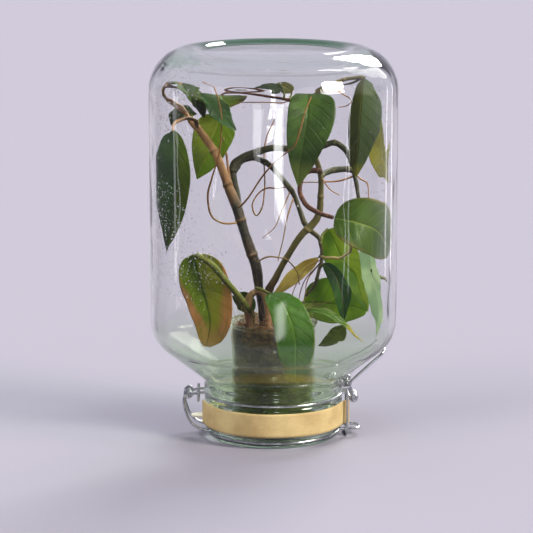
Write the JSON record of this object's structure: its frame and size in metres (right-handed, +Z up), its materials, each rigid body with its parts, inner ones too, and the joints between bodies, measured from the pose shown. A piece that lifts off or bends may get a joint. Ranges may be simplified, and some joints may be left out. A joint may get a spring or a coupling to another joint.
{
  "type": "glass plant terrarium",
  "caption": "Swing-top preserving jar stood upside down on its glass lid, with a climbing plant in a clear nursery pot inside and a paper band round the mouth.",
  "frame": {"origin": "centre of the face that the lid rests on, on the jar's axis", "axes": "+Z up along the jar's axis, -Y the front, the lid's hinge at -X and its latch at +X"},
  "size_m": [0.18, 0.18, 0.286],
  "materials": {
    "jar_glass": "blown clear glass with a faint green tint, smooth",
    "lid_glass": "pressed clear glass with a faint green tint, smooth",
    "seal": "pale translucent rubber, satin",
    "steel_wire": "bright drawn steel wire",
    "kraft_paper": "brown kraft paper, matte, bare",
    "pot_plastic": "clear thin moulded plastic",
    "soil": "damp potting soil with roots, matte",
    "bark": "dark olive brown climbing stem, satin",
    "green_bark": "dark grey green climbing stem, satin",
    "pale_root": "pale young root, satin",
    "leaf": "green leaf, waxy, soft gloss",
    "leaf_bright": "yellow green leaf, waxy, soft gloss",
    "leaf_olive": "olive leaf, satin",
    "leaf_red": "green and rust red leaf, satin"
  },
  "bodies": {
    "jar": {"jar_glass": "jar_glass", "lid_glass": "lid_glass", "seal_ring": "seal", "neck_wire": "steel_wire", "lid_wire": "steel_wire", "paper_band": "kraft_paper", "nursery_pot": "pot_plastic", "root_ball": "soil", "stem_left": "bark", "stem_arch": "green_bark", "stem_branch": "green_bark", "stem_right": "bark", "stem_hoop": "bark", "root_pale": "pale_root", "leaf_top_left": "leaf_bright", "leaf_left_back": "leaf_bright", "leaf_left_glossy": "leaf", "leaf_left_bright": "leaf_bright", "leaf_left_long": "leaf", "leaf_left_high": "leaf", "leaf_low_left": "leaf_red", "leaf_front": "leaf", "leaf_front_blade": "leaf_bright", "leaf_low_right": "leaf_olive", "leaf_right_back": "leaf_bright", "leaf_right_low": "leaf_bright", "leaf_right_dark": "leaf", "leaf_round": "leaf", "leaf_right_tall": "leaf", "leaf_top_right": "leaf", "leaf_right_yellow": "leaf_bright", "leaf_centre": "leaf", "leaf_small_dark": "leaf", "leaf_small_olive": "leaf_olive", "leaf_back_olive": "leaf_olive", "leaf_crown": "leaf_bright"},
    "lever": {"lever_wire": "steel_wire"},
    "link": {"link_wire": "steel_wire"}
  },
  "joints": [
    {"name": "lever_turn", "type": "hinge", "parent": "jar", "child": "lever", "pos_m": [0.059, 0, 0.0278], "axis": [0, 1, 0], "range_deg": [0, 75]},
    {"name": "link_swing", "type": "hinge", "parent": "lever", "child": "link", "pos_m": [0.054, 0, 0.0396], "axis": [0, 1, 0], "range_deg": [-105, 0]}
  ],
  "couplings": [
    {"joint": "link_swing", "follows": "lever_turn", "ratio": -1.4}
  ]
}
